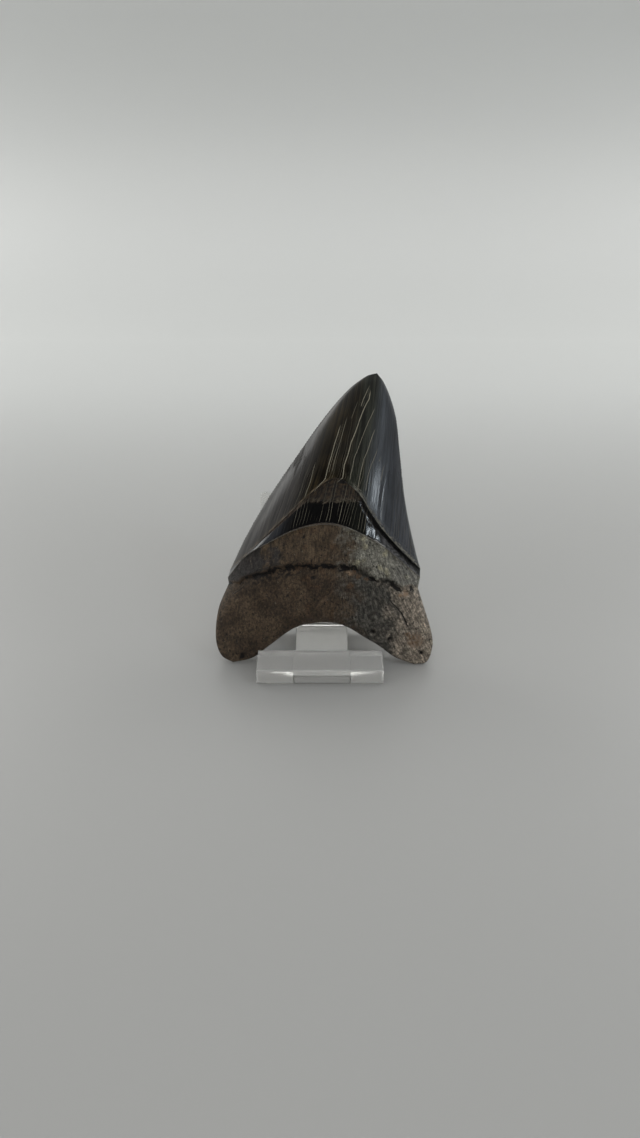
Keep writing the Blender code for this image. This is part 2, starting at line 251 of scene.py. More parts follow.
def smooth_reading(xs, ys, where):
    """A cubic reading of ys against xs whose slope at each point is that of its neighbours."""
    xs, ys = np.asarray(xs, float), np.asarray(ys, float)
    flat = ys.ndim == 1
    ys = ys[:, None] if flat else ys
    slopes = np.empty_like(ys)
    slopes[1:-1] = (ys[2:] - ys[:-2]) / (xs[2:] - xs[:-2])[:, None]
    slopes[0] = (ys[1] - ys[0]) / (xs[1] - xs[0])
    slopes[-1] = (ys[-1] - ys[-2]) / (xs[-1] - xs[-2])
    shape = np.shape(where)
    where = np.clip(np.ravel(where), xs[0], xs[-1])
    k = np.clip(np.searchsorted(xs, where, side="right") - 1, 0, len(xs) - 2)
    span = (xs[k + 1] - xs[k])[:, None]
    x = (where - xs[k])[:, None] / span
    read = (ys[k] * (2 * x**3 - 3 * x**2 + 1) + slopes[k] * span * (x**3 - 2 * x**2 + x)
            + ys[k + 1] * (3 * x**2 - 2 * x**3) + slopes[k + 1] * span * (x**3 - x**2))
    return read[:, 0].reshape(shape) if flat else read.reshape(*shape, -1)


def height_line(pairs, up):
    xs, ys = zip(*pairs)
    return smooth_reading(xs, ys, up)


def rounded(x, power):
    x = np.clip(x, 0, 1)
    return (1 - (1 - x) ** power) ** (1 / power)


def ease(x):
    x = np.clip(x, 0, 1)
    return x * x * (3 - 2 * x)


def below_line(over):
    """1 below a crossing line and 0 above it, for a height over it in mm."""
    return 1 - ease(over / STEP_RUN + 0.9)


def zone_shares(zone):
    """Rows of one zone, closer together towards its upper line."""
    share = np.arange(1, ZONE_ROWS[zone] + 1) / ZONE_ROWS[zone]
    if zone == CROWN:
        return share
    return 1 - (1 - share) * (0.55 + 0.45 * (1 - share))


def sheet_plan(lines, across):
    """Plan points of one face, row by row from the base to the tip, and each row's zone."""
    base, groove, band, enamel = lines
    tip = [TIP, (TIP[0] + 1e-6, TIP[1])]    # a line too, but one of next to no length
    zones = [(ROOT, base, groove, LEFT_ROOT, RIGHT_ROOT),
             (COLLAR, groove, band, [groove[0], band[0]], [groove[-1], band[-1]]),
             (BAND, band, enamel, [band[0], enamel[0]], [band[-1], enamel[-1]]),
             (CROWN, enamel, tip, LEFT_BLADE, RIGHT_BLADE)]
    plan, marks = [along(base, across)[None]], [np.array([0.0])]
    s = across[None, :, None]
    for zone, lower, upper, left, right in zones:
        share = zone_shares(zone)
        t = share[:, None, None]
        low, high = along(lower, across)[None], along(upper, across)[None]
        low_ends, high_ends = np.asarray(lower, float), np.asarray(upper, float)
        rows = low * (1 - t) + high * t
        rows += (1 - s) * (along(left, share)[:, None] - (low_ends[0] * (1 - t) + high_ends[0] * t))
        rows += s * (along(right, share)[:, None] - (low_ends[-1] * (1 - t) + high_ends[-1] * t))
        plan.append(rows)
        marks.append(zone + share)
    return np.concatenate(plan), np.concatenate(marks)


def noise_field(plan, scale, seed, stretch=(1.0, 1.0)):
    """Smooth noise over the plan, about -1 to 1, one bump to every `scale` mm."""
    points = plan.reshape(-1, 2) / scale * np.array(stretch)
    values = [noise.noise((x, y, seed)) for x, y in points]
    return np.array(values).reshape(plan.shape[:-1])


def lumps(plan):
    x, y = plan[..., 0], plan[..., 1]
    return (0.45 * np.sin(0.23 * x + 0.9) * np.sin(0.31 * y + 0.4)
            + 0.3 * np.sin(0.52 * x - 0.21 * y) + 0.22 * np.sin(0.95 * x + 0.37 * y + 2.0))


def crossing(s, root_share):
    off = np.abs(2 * s - 1)
    slab = (1 - off**4) ** 0.42
    lens = (1 - off**2) ** 0.85
    return lens + (slab - lens) * root_share


def column_distance(plan, mark, line):
    """How far up or down its own column each point is from one of the crossing lines, in mm."""
    steps = np.linalg.norm(np.diff(plan, axis=0), axis=2)
    reach = np.concatenate([np.zeros((1, plan.shape[1])), np.cumsum(steps, axis=0)])
    return reach - reach[int(np.argmin(np.abs(mark - line)))][None]


def front_heights(plan, mark, across):
    s = across[None, :]
    up = plan[..., 1]
    share = mark[:, None]
    root_share = np.interp(share, [1, 2, 3, 4], [1.0, 0.6, 0.2, 0.0])
    edge = height_line(EDGE_HEIGHT, up)
    base_distance = np.linalg.norm(plan - plan[:1], axis=2)
    lip = rounded(base_distance / FRONT_LIP, 2.2)
    full = crossing(s, root_share) * lip
    height = edge + (height_line(FRONT_HEIGHT, up) - edge) * full
    inside = rounded(4 * np.minimum(s, 1 - s), 2.0) * lip

    ragged = 0.35 * noise_field(plan, 1.6, 3.0) + 0.25 * noise_field(plan, 0.7, 8.0)
    ragged *= 1 + 1.3 * ease((plan[..., 0] - 12.0) / 8.0)
    over_band_foot = column_distance(plan, mark, 2.0) + 0.4 * ragged
    over_enamel_foot = column_distance(plan, mark, 3.0) + ragged
    root_side = below_line(over_band_foot)
    height -= BAND_STEP * inside * root_side
    height -= ENAMEL_STEP * inside * below_line(over_enamel_foot)

    on_band = ease(over_band_foot / 0.8) * below_line(over_enamel_foot)
    run = np.clip(plan[..., 0] - SLOPE_START, 0, SLOPE_REACH)
    falling = (SLOPE * run - SLOPE_LOSS * run**2) * ease(run / 1.5) * (1 - ease((up - SLOPE_TOP) / 4.5))
    falling *= 1 + 0.04 * np.clip(SLOPE_TOP - up, 0, 8)
    height -= on_band * (falling + 0.03 * noise_field(plan, 2.4, 12.0))
    crumbled = np.exp(-((over_enamel_foot + GAP_BELOW_EDGE) / GAP_WIDTH) ** 2)
    crumbled *= ease((plan[..., 0] - 15.0) / 4.0)
    height -= GAP_DEPTH * inside * on_band * crumbled * (0.8 + 0.9 * noise_field(plan, 1.3, 13.0))

    coarse = noise_field(plan, 5.0, 1.0)
    medium = noise_field(plan, 2.1, 2.0, stretch=(1.0, 0.6))
    fine = noise_field(plan, 1.0, 4.0, stretch=(1.2, 0.6))
    relief = 0.3 * coarse + 0.24 * medium + 0.18 * fine
    height += root_side * full * (0.7 * lumps(plan) + relief)
    for place_x, place_y, radius, depth in PITS:
        away = np.hypot(plan[..., 0] - place_x, plan[..., 1] - place_y) / radius
        height -= root_side * full * depth * np.exp(-away**2)

    from_groove = column_distance(plan, mark, 1.0) + 1.1 * coarse + 0.7 * medium
    width = 0.9 + 0.5 * noise_field(plan, 4.0, 11.0)
    gap = np.exp(-(from_groove / np.maximum(width, 0.35)) ** 2)
    height -= GROOVE_DEPTH * inside * gap * np.clip(0.85 + 0.6 * medium, 0.2, 1.2)
    lines = np.stack([from_groove, over_band_foot, over_enamel_foot], axis=-1)
    return height, relief, lines


def back_heights(plan, mark, across):
    s = across[None, :]
    up = plan[..., 1]
    edge = height_line(EDGE_HEIGHT, up)
    off = np.abs(2 * s - 1)
    base_distance = np.linalg.norm(plan - plan[:1], axis=2)
    lip = rounded(base_distance / BACK_LIP, 1.3)
    flatness = np.interp(mark, [1, 1.3], [0.45, 0.8])[:, None]
    full = (1 - off**5) ** flatness * lip
    height = edge + (height_line(BACK_HEIGHT, up) - edge) * full
    inside = rounded(4 * np.minimum(s, 1 - s), 2.0) * lip
    over_enamel_foot = column_distance(plan, mark, 3.0) + 0.35 * noise_field(plan, 1.6, 5.0)
    below = below_line(over_enamel_foot)
    rough = 0.28 * noise_field(plan, 5.0, 21.0) + 0.2 * noise_field(plan, 2.2, 22.0)
    height += below * inside * (ENAMEL_STEP - lumps(plan) - rough)
    lines = np.stack([column_distance(plan, mark, 1.0), over_enamel_foot, over_enamel_foot], axis=-1)
    return height, rough, lines


# Pale cracks in the crown, (across, up) in mm, each with its half width and strength.
CROWN_CRACKS = [
    ([(-6.3, 56.5), (-5.4, 59.2), (-4.0, 62.6), (-2.9, 67.4), (-1.7, 71.1)], 0.20, 0.6),
    ([(-2.6, 58.6), (-0.6, 61.2), (2.1, 64.0), (3.4, 69.2), (4.4, 72.6), (6.1, 78.8),
      (8.6, 86.5)], 0.25, 0.9),
    ([(5.1, 67.4), (5.7, 70.5), (6.9, 74.8), (8.3, 79.3), (9.8, 84.9), (11.3, 89.8)], 0.18, 0.55),
    ([(13.0, 89.0), (14.4, 92.8), (15.8, 96.6)], 0.16, 0.45),
    ([(7.1, 62.8), (9.3, 64.6), (9.6, 67.3), (9.9, 69.8), (11.4, 73.8), (12.7, 78.8), (14.6, 83.3),
      (16.4, 88.5), (17.9, 92.3), (19.1, 95.0), (20.4, 97.2), (21.0, 101.1)], 0.28, 1.0),
    ([(17.0, 94.1), (17.9, 96.9), (19.3, 100.0), (20.7, 103.0)], 0.22, 0.85),
    ([(12.3, 64.0), (12.6, 66.1), (13.4, 69.2), (14.0, 72.6), (15.2, 75.4), (16.8, 79.8), (18.1, 83.1),
      (19.8, 87.1), (21.5, 90.7), (22.9, 93.7)], 0.20, 0.7),
    ([(15.2, 59.2), (15.7, 61.9), (16.4, 65.6), (17.1, 68.6), (18.0, 72.3), (19.6, 75.7), (21.2, 80.8),
      (22.9, 85.0)], 0.21, 0.75),
    ([(18.6, 59.2), (19.2, 62.6), (19.8, 66.1), (21.1, 69.9), (22.7, 73.6), (24.0, 77.0)], 0.18, 0.6),
    ([(24.3, 71.2), (25.2, 73.6)], 0.17, 0.6),
    ([(25.0, 63.2), (25.8, 67.2), (26.7, 70.3)], 0.17, 0.5)]
ROOT_CRACKS = [([(26.8, 16.5), (30.3, 13.0), (33.6, 9.1), (36.0, 3.8)], 0.55, 1.0),
               ([(21.1, 16.6), (25.4, 14.0)], 0.45, 0.7),
               ([(-35.2, 17.0), (-32.2, 19.5), (-29.3, 22.1)], 0.45, 0.7)]
# Stains and pits on the front, (across, up, radius) in mm; the dark spots are partly dark marks and partly
# painted shade in the pits and notches.
TAN_SPOTS = [(11.8, 26.3, 1.5), (34.9, 17.4, 1.7), (32.6, 17.0, 0.9)]
OCHRE_SPOTS = [(13.6, 26.2, 1.4), (15.6, 24.8, 1.5), (18.8, 23.6, 1.2), (12.5, 21.0, 1.6), (39.0, -2.0, 4.2),
               (36.0, 0.5, 1.6)]
DARK_SPOTS = [(28.4, -1.0, 1.2), (41.5, -7.1, 1.1), (21.8, 1.8, 1.4), (-32.0, -8.5, 1.5), (9.6, 62.9, 1.1),
              (17.2, 54.0, 1.3), (-2.5, 24.5, 1.0), (1.5, 39.5, 0.7), (-6.5, 40.5, 0.6)]


# Colours of the fossil. A pair is its darker and its paler tone.
ROOT_BROWNS = (0.064, 0.0425, 0.0260), (0.102, 0.0700, 0.0425)
ROOT_GREYS = (0.056, 0.052, 0.044), (0.105, 0.098, 0.083)
LOBE_TANS = (0.28, 0.236, 0.186), (0.35, 0.296, 0.235)
RUST = (0.085, 0.045, 0.022)
BLOTCH = (0.007, 0.006, 0.006)
COLLAR_PALES = (0.265, 0.256, 0.215), (0.36, 0.334, 0.236)
COLLAR_BROWN = (0.110, 0.076, 0.044)
COLLAR_GREY = (0.165, 0.159, 0.145)
COLLAR_CHARCOAL = (0.036, 0.035, 0.036)
BAND_BLACK = (0.0022, 0.0020, 0.0021)
BAND_SHEEN = (0.013, 0.016, 0.023)
BAND_OLIVE = (0.010, 0.011, 0.0085)
PATCH_BROWNS = (0.008, 0.005, 0.003), (0.066, 0.043, 0.024)
PATCH_CHIP = (0.20, 0.17, 0.12)
CREST_BROWNS = (0.05, 0.036, 0.027), (0.11, 0.082, 0.06)
HOLLOW_SHADE_BLACK = (0.0012, 0.0011, 0.0011)
WORN_GREYS = (0.03, 0.03, 0.032), (0.17, 0.168, 0.175)
CROWN_CHARCOAL_AND_SHEEN = (0.0350, 0.0322, 0.0300)
CROWN_BLACK = (0.0100, 0.0074, 0.0033)
CROWN_BROWN = (0.0200, 0.0142, 0.0060)
CROWN_OLIVE = (0.0190, 0.0205, 0.0150)
CROWN_BLUE_SHEEN = (0.0270, 0.0310, 0.0375)
LIP_TAN = (0.19, 0.15, 0.10)
LIP_BLUSH = (0.085, 0.066, 0.045)
ENAMEL_CHIP = (0.30, 0.29, 0.24)

# Roughness of the polished enamel and band, what chips, matt places and the duller tip and
# left flank add to it, and that of the crown's back and of the bare bone.
POLISHED = 0.13
CHIP_ADDS = 0.42
MATT_ADDS = 0.45
FLANK_ADDS = 0.19
CROWN_BACK_ROUGH = 0.32
BONE_ROUGH = 0.55


def step(x, start, end, low=0.0, high=1.0):
    """Eases from low to high as x goes from start to end, which may be the smaller."""
    return low + (high - low) * ease((x - start) / (end - start))


def mixed(share, low, high):
    return np.asarray(low) + np.asarray(share)[..., None] * (np.asarray(high) - np.asarray(low))


def spots(plan, ragged, marks):
    """1 inside any of the (across, up, radius) marks, with a ragged edge."""
    found = np.zeros(plan.shape[:-1])
    for across, up, radius in marks:
        away = np.hypot(plan[..., 0] - across, plan[..., 1] - up) + ragged
        found = np.maximum(found, step(away, radius, 0.5 * radius))
    return found


def crack_fields(plan, bend, paths):
    """Signed distance from the nearest crack in half widths, and how strong it is here."""
    across, up = plan[..., 0] + bend, plan[..., 1]
    nearest = np.full(up.shape, 99.0)
    off_here, strength_here = np.full(up.shape, 9.0), np.zeros(up.shape)
    for path, width, strength in paths:
        path = sorted(path, key=lambda point: point[1])
        xs, ys = zip(*path)
        off = across - np.interp(up, ys, xs)
        ends = step(up, ys[0] - 0.3, ys[0] + 0.5) * step(up, ys[-1] + 0.3, ys[-1] - 2.5)
        closer = (np.abs(off) < nearest) & (ends > 0)
        nearest = np.where(closer, np.abs(off), nearest)
        off_here = np.where(closer, off / width, off_here)
        strength_here = np.where(closer, strength * ends * step(np.abs(off), 1.0, 0.6), strength_here)
    return off_here, strength_here


def finish_fields(plan, mark, height, lines, relief, front):
    """What the finish reads at each point: base colour, with its painted sheen and shade, gloss, stains and
    painted pit shade, cracks and grain.
    """
    across, up = plan[..., 0], plan[..., 1]
    from_groove, over_band, over_enamel = np.moveaxis(lines, -1, 0)
    zone = np.broadcast_to(mark[:, None], up.shape)
    broad = noise_field(plan, 8.0, 31.0)
    middling = noise_field(plan, 3.2, 32.0)
    medium = noise_field(plan, 1.3, 33.0) + 0.4 * noise_field(plan, 0.65, 34.0)
    ragged = 0.5 * medium
    side = across + 9.0 * noise_field(plan, 5.0, 35.0) + 5.0 * medium

    # root: brown, grey in the middle right, tan on the right lobe, pale above the groove
    above = step(from_groove, 0.3, 2.0)
    root = mixed(step(broad, -0.25, 0.25), *ROOT_BROWNS)
    root = mixed(0.5 * above, root, COLLAR_BROWN)
    rust = step(middling, 0.1, 0.4) * step(across, -16.0, -8.0)
    root = mixed(0.45 * rust, root, RUST)
    grey = mixed(step(medium, -0.25, 0.25), *ROOT_GREYS)
    tan = mixed(step(medium, -0.25, 0.25), *LOBE_TANS)
    pale = mixed(step(middling, 0.15, 0.5), *COLLAR_PALES)
    root = mixed(step(side, 4.0, 20.0), root, grey)
    root = mixed(step(side, 24.0, 38.0), root, tan)
    root = mixed(step(side, 6.0, 22.0) * above, root, pale)
    root = mixed(0.6 * step(across, 26.0, 33.0) * above, root, COLLAR_GREY)
    root = mixed(0.85 * step(side, -15.0, -24.0) * above, root, COLLAR_CHARCOAL)
    # the tone also follows the relief, darker where it sinks and lighter where it rises: painted shade in
    # the bone's hollows and painted light on its bumps
    root *= (1.3 * step(medium, -0.4, 0.4, 0.82, 1.18) * step(relief, -0.35, 0.35, 0.8, 1.2))[..., None]
    blotched = (step(from_groove, -4.6, -3.0) * step(from_groove, 0.0, -0.8) * step(across, -30.0, -26.0)
                * step(across, -6.0, -12.0) * step(medium, 0.05, -0.12) * front)
    root = mixed(0.85 * blotched, root, BLOTCH)

    # crown: charcoal on the left, brown in the middle, blue-grey on the right; the left flank's charcoal is
    # partly painted sheen and the right flank's blue-grey is painted sheen, the enamel's reflection of the
    # room
    lean = step(across, -10.0, 40.0, 0.34, 0.08)
    grain = across - lean * (up - 60.0)
    along_grain = np.stack([grain, up * 0.05], axis=-1)
    streak = noise_field(along_grain, 1.2, 41.0) + 0.5 * noise_field(along_grain, 0.5, 42.0)
    # the charcoal on the left flank is lighter than the enamel's dark tone: partly painted sheen
    crown = mixed(step(grain + 3.0 * streak, -12.0, -3.0), CROWN_CHARCOAL_AND_SHEEN, CROWN_BLACK)
    brown = step(broad, -0.15, 0.15) * step(grain, 12.0, 6.0) * step(grain, -8.0, -2.0)
    crown = mixed(0.85 * brown, crown, CROWN_BROWN)
    crown = mixed(step(grain + 2.0 * streak, 8.0, 13.0), crown, CROWN_OLIVE)
    # painted sheen: blue-grey on the right flank in place of the enamel's bluish reflection
    crown = mixed(step(grain, 16.0, 23.0), crown, CROWN_BLUE_SHEEN)
    on_flank = np.maximum(step(grain, -4.0, -12.0), step(grain, 15.0, 22.0))
    crown *= (1 + (step(streak, -0.45, 0.45, 0.5, 1.6) - 1) * (1 - 0.55 * on_flank))[..., None]

    # the enamel's edge: a tan double line on the left, pale chips on the right
    left, right = step(across, 6.0, 0.0) * front, step(across, 12.0, 17.0) * front
    lip = step(over_enamel, 1.3, 0.6)
    second = step(np.abs(over_enamel - 1.5 + 0.8 * middling), 0.35, 0.1)
    second *= step(across, -10.0, -16.0, 0.0, 0.7)
    worn = step(middling, -0.2, 0.2, 0.25, 1.0)
    crown = mixed(0.85 * left * worn * np.maximum(lip, second), crown, LIP_TAN)
    blush = left * step(over_enamel, 4.5, 0.5) * step(across, -12.0, -16.0) * step(streak, -0.1, 0.3)
    crown = mixed(0.6 * blush, crown, LIP_BLUSH)
    speckle = noise_field(plan, 0.75, 36.0)
    near_edge = step(over_enamel, 2.0, 0.3)
    chips = right * step(over_enamel, 3.2, 1.2) * step(speckle + 0.35 * near_edge, 0.02, 0.16)
    crown = mixed(0.85 * chips, crown, ENAMEL_CHIP)

    # band: black, with a bare brown patch at its top, a brown crest on the left, a dark hollow
    # under the enamel on the right, its black painted shade in the gap, and a worn grey end beyond it
    band = np.broadcast_to(BAND_BLACK, crown.shape)
    patch_brown = mixed(step(medium, -0.25, 0.25), *PATCH_BROWNS)
    foot = up + 1.6 * ragged + 0.8 * speckle
    patch = step(foot, 54.4, 55.4) * front
    chipped_foot = patch * step(foot, 57.2, 55.8) * step(speckle, 0.02, 0.2)
    patch_brown = mixed(0.6 * chipped_foot, patch_brown, PATCH_CHIP)
    crest = left * step(over_enamel + ragged, -2.4, -1.5) * step(across, -33.0, -28.0)
    hollow = front * step(across + 2 * ragged, 15.0, 18.0) * step(over_enamel + 1.2 * speckle, -3.4, -2.4)
    band = mixed(0.9 * crest, band, mixed(step(medium, -0.25, 0.25), *CREST_BROWNS))
    sheen = left * step(across, -11.0, -19.0) * step(over_band, 0.5, 1.5) * (1 - crest)
    band = mixed(0.7 * sheen, band, BAND_SHEEN)
    olive = front * step(across, 10.0, 15.0) * step(across, 23.0, 18.0)
    band = mixed(0.7 * olive, band, BAND_OLIVE)
    band = mixed(patch, band, patch_brown)
    # painted shade: near black in the broken gap under the enamel's right edge
    band = mixed(hollow, band, HOLLOW_SHADE_BLACK)
    worn_end = step(across, 24.5, 28.0) * (1 - hollow) * front
    band = mixed(0.85 * worn_end, band, mixed(step(speckle, -0.15, 0.2), *WORN_GREYS))
    matt = np.maximum(np.maximum(patch, 0.8 * crest), np.maximum(hollow, 0.9 * worn_end))

    in_crown, in_band = (zone > 3.0)[..., None], ((zone > 2.0) & (zone <= 3.0))[..., None]
    tint = np.where(in_crown, crown, np.where(in_band, band, root))
    in_crown, in_band = in_crown[..., 0], in_band[..., 0]
    crown_rough = POLISHED + CHIP_ADDS * chips
    crown_rough += step(up + 7.0 * streak, 62.0, 74.0, 0.0, FLANK_ADDS)
    crown_rough += step(across, 4.0, -14.0, 0.0, FLANK_ADDS)
    crown_rough += 0.07 * step(grain, 14.0, 18.0)
    crown_rough += 0.03 * streak
    crown_rough += 0.1 * step(over_enamel, 7.0, 3.0) * step(across, 15.0, 19.0)
    crown_rough = crown_rough * front + CROWN_BACK_ROUGH * (1 - front)
    rough = np.where(in_crown, crown_rough, np.where(in_band, POLISHED + MATT_ADDS * matt, BONE_ROUGH))
    contrast = np.where(in_crown, 0.8, np.where(in_band, 1.0, step(side, 4.0, 16.0, 1.3, 1.5)))
    pores = np.where(in_crown, 0.0, np.where(in_band, 0.3 * matt, 1.0))

    # fine lines: along the grain of the crown, and across the band
    bent = grain + 0.9 * broad
    band_grain = across - 0.24 * (up - 50.0) + 0.5 * broad + 0.12 * middling
    middle = step(across, -14.0, -7.0, 0.15, 1.0) * step(across, 24.0, 17.0, 0.1, 1.0)
    uneven = 0.45 * noise_field(np.stack([bent, 0.02 * up], axis=-1), 2.3, 43.0)
    line_place = np.where(in_crown, bent / 1.05 + uneven, band_grain / 1.25 + uneven)
    crown_lines = 0.55 * step(over_enamel, 30.0, 4.0, 0.25, 1.0) * step(across, -22.0, -10.0, 0.4, 1.0)
    crown_lines *= step(over_enamel, 0.1, 0.8)
    band_lines = 0.9 * middle * step(over_band, 0.6, 2.2) * step(over_enamel, -0.2, -0.8) * front
    line_share = np.where(in_crown, crown_lines, np.where(in_band, band_lines, 0.0))

    slant = 0.55 * step(across, 4.0, 30.0) * up
    length_scale = np.minimum(step(from_groove, -1.0, 3.0, 0.75, 0.28), step(across, -2.0, 14.0, 0.75, 0.32))
    fibre = np.where((in_crown | in_band)[..., None],
                     np.stack([1.6 * grain, 0.09 * up, 0.3 * height], axis=-1),
                     np.stack([1.25 * (across + slant), length_scale * up, 0.75 * height], axis=-1))
    bend = np.where(zone > 2.0, 0.06, 0.5) * medium
    crack_off, crack_strength = crack_fields(plan, bend, CROWN_CRACKS + ROOT_CRACKS)
    dark = spots(plan, ragged, DARK_SPOTS)
    ochre, pale_tan = spots(plan, ragged, OCHRE_SPOTS), spots(plan, ragged, TAN_SPOTS)

    def stack(*fields):
        return np.stack([np.broadcast_to(field, up.shape) for field in fields], axis=-1)

    # the back has no open groove, so its distance from one is set far off
    return {"lines": stack(from_groove * front - 9.0 * (1 - front), over_band, over_enamel),
            "tint": tint,
            "surface": stack(rough, contrast, pores),
            "stain_and_pit_shade": stack(dark, ochre, pale_tan) * front,
            "crack": stack(crack_off, crack_strength * front, np.where(zone > 2.0, 1.0, 0.0)),
            "grain": stack(line_place, line_share, 0.0),
            "fibre": fibre}


def grown_shape():
    """The plan points, heights and finish fields of the two faces, for one closed mesh to be built from."""
    share = np.arange(FRONT_COLUMNS + 1) / FRONT_COLUMNS
    across = 0.45 * share + 0.55 * (1 - np.cos(math.pi * share)) / 2
    across[0], across[-1] = 0.0, 1.0
    every = FRONT_COLUMNS // BACK_COLUMNS
    across_back = across[::every]
    front, mark = sheet_plan((ROOT_BASE, GROOVE, BAND_FOOT, ENAMEL_FOOT), across)
    back, _ = sheet_plan((ROOT_BASE, BACK_GROOVE, BACK_BAND_FOOT, BACK_ENAMEL_FOOT), across_back)
    front_height, front_relief, front_lines = front_heights(front, mark, across)
    back_height, back_relief, back_lines = back_heights(back, mark, across_back)
    front_look = finish_fields(front, mark, front_height, front_lines, front_relief, 1.0)
    back_look = finish_fields(back, mark, back_height, back_lines, back_relief, 0.0)
    return mark, (front, front_height, front_look), (back, back_height, back_look)


def chipped(run, side):
    """Uneven wear along a cutting edge, from 0.3 to 1."""
    beat = 0.75 + 0.5 * noise.noise((run / 2.6, 7.0 * side, 0.0)) + 0.3 * noise.noise((run / 0.9, 0, side))
    return min(max(beat, 0.3), 1.0)


def tooth_mesh():
    mark, front_face, back_face = grown_shape()
    front, front_height, front_look = front_face
    back, back_height, back_look = back_face
    n_rows, n_front, n_back = len(mark), FRONT_COLUMNS + 1, BACK_COLUMNS + 1
    every = FRONT_COLUMNS // BACK_COLUMNS
    bm = bmesh.new()
    look_layers = {name: bm.verts.layers.float_vector.new(name) for name in front_look}
    plan_layer = bm.verts.layers.float_vector.new("plan")
    run_layer = bm.verts.layers.float.new("edge_run")
    rim_layer = bm.verts.layers.float.new("rim")
    out_layer = bm.verts.layers.float_vector.new("outward")

    def add(plan, heights, look, r, c):
        point, height = plan[r, c], heights[r, c]
        vert = bm.verts.new((point[0] * MM, -height * MM, point[1] * MM))
        vert[plan_layer] = (point[0], point[1], height)
        for name, layer in look_layers.items():
            vert[layer] = look[name][r, c]
        return vert

    tip = add(front, front_height, front_look, n_rows - 1, 0)
    fronts = [[add(front, front_height, front_look, r, c) for c in range(n_front)]
              for r in range(n_rows - 1)]
    fronts.append([tip] * n_front)
    backs = []
    for r in range(n_rows - 1):
        backs.append([fronts[r][c * every] if r == 0 or c in (0, n_back - 1)
                      else add(back, back_height, back_look, r, c) for c in range(n_back)])
    backs.append([tip] * n_back)

    for r in range(n_rows - 1):
        for c in range(n_front - 1):
            corners = [fronts[r][c], fronts[r][c + 1], fronts[r + 1][c + 1], fronts[r + 1][c]]
            bm.faces.new(list(dict.fromkeys(corners)))
    for r in range(n_rows - 1):
        for c in range(n_back - 1):
            low = [backs[r][c + 1], backs[r][c]]
            if r == 0:
                low = [fronts[0][c * every + k] for k in range(every, -1, -1)]
            corners = low + [backs[r + 1][c], backs[r + 1][c + 1]]
            bm.faces.new(list(dict.fromkeys(corners)))
    bmesh.ops.recalc_face_normals(bm, faces=bm.faces)

    first_crown_row = int(np.argmin(np.abs(mark - 3.0)))
    for column, side, worn in ((0, -1, LEFT_SERRATIONS), (n_front - 1, 1, RIGHT_SERRATIONS)):
        run = 0.0
        for r in range(first_crown_row, n_rows - 3):
            low, high = fronts[r][column], fronts[r + 1][column]
            edge = bm.edges.get((low, high))
            length = edge.calc_length()
            outward = Vector((high.co.z - low.co.z, 0, low.co.x - high.co.x)).normalized() * side
            if outward.x * side < 0:
                outward.negate()
            heights, left_over = zip(*worn)
            strength = float(np.interp(low.co.z / MM, heights, left_over))
            low[run_layer], low[out_layer] = run / MM, outward
            low[rim_layer] = strength * chipped(run / MM, side)
            start = low
            for k in range(1, RIM_SPLITS):
                edge, vert = bmesh.utils.edge_split(edge, start, 1 / (RIM_SPLITS - k + 1))
                edge = next(e for e in vert.link_edges if high in e.verts)
                vert[run_layer] = (run + length * k / RIM_SPLITS) / MM
                vert[rim_layer] = strength * chipped(vert[run_layer], side)
                vert[out_layer] = outward
                start = vert
            run += length
    bmesh.ops.triangulate(bm, faces=[f for f in bm.faces if len(f.verts) > 4])
    for face in bm.faces:
        face.smooth = True
    mesh = bpy.data.meshes.new("fossil_tooth")
    bm.to_mesh(mesh)
    bm.free()
    return mesh


def serration_tree():
    """Moves the rim's points out and in along each cutting edge, one fine tooth to a pitch."""
    tree = bpy.data.node_groups.new("edge serrations", "GeometryNodeTree")
    face = tree.interface
    face.new_socket("Geometry", in_out="INPUT", socket_type="NodeSocketGeometry")
    pitch = face.new_socket("Pitch", in_out="INPUT", socket_type="NodeSocketFloat")
    depth = face.new_socket("Depth", in_out="INPUT", socket_type="NodeSocketFloat")
    surface = face.new_socket("Finish", in_out="INPUT", socket_type="NodeSocketMaterial")
    face.new_socket("Geometry", in_out="OUTPUT", socket_type="NodeSocketGeometry")
    pitch.default_value, depth.default_value = SERRATION_PITCH, SERRATION_DEPTH * MM
    add, link = tree.nodes.new, tree.links.new
    source, result = add("NodeGroupInput"), add("NodeGroupOutput")

    def stored(name, kind="FLOAT"):
        node = add("GeometryNodeInputNamedAttribute")
        node.data_type = kind
        node.inputs["Name"].default_value = name
        return node.outputs["Attribute"]

    def math_node(operation, a, b=None):
        node = add("ShaderNodeMath")
        node.operation = operation
        for socket, value in zip(node.inputs, (a, b)):
            if isinstance(value, (int, float)):
                socket.default_value = value
            elif value is not None:
                link(value, socket)
        return node.outputs[0]

    beats = math_node("DIVIDE", stored("edge_run"), source.outputs["Pitch"])
    wave = math_node("PINGPONG", math_node("MULTIPLY", beats, 2.0), 1.0)
    crest = math_node("POWER", wave, 0.7)
    reach = math_node("MULTIPLY", math_node("MULTIPLY", crest, stored("rim")), source.outputs["Depth"])
    scaled = add("ShaderNodeVectorMath")
    scaled.operation = "SCALE"
    link(stored("outward", "FLOAT_VECTOR"), scaled.inputs[0])
    link(reach, scaled.inputs["Scale"])
    move = add("GeometryNodeSetPosition")
    link(source.outputs["Geometry"], move.inputs["Geometry"])
    link(scaled.outputs["Vector"], move.inputs["Offset"])
    real = add("GeometryNodeRealizeInstances")
    link(move.outputs[0], real.inputs[0])
    dress = add("GeometryNodeSetMaterial")
    link(real.outputs[0], dress.inputs["Geometry"])
    link(source.outputs["Finish"], dress.inputs["Material"])
    link(dress.outputs[0], result.inputs[0])
    return tree, {"Pitch": pitch.identifier, "Depth": depth.identifier, "Finish": surface.identifier}


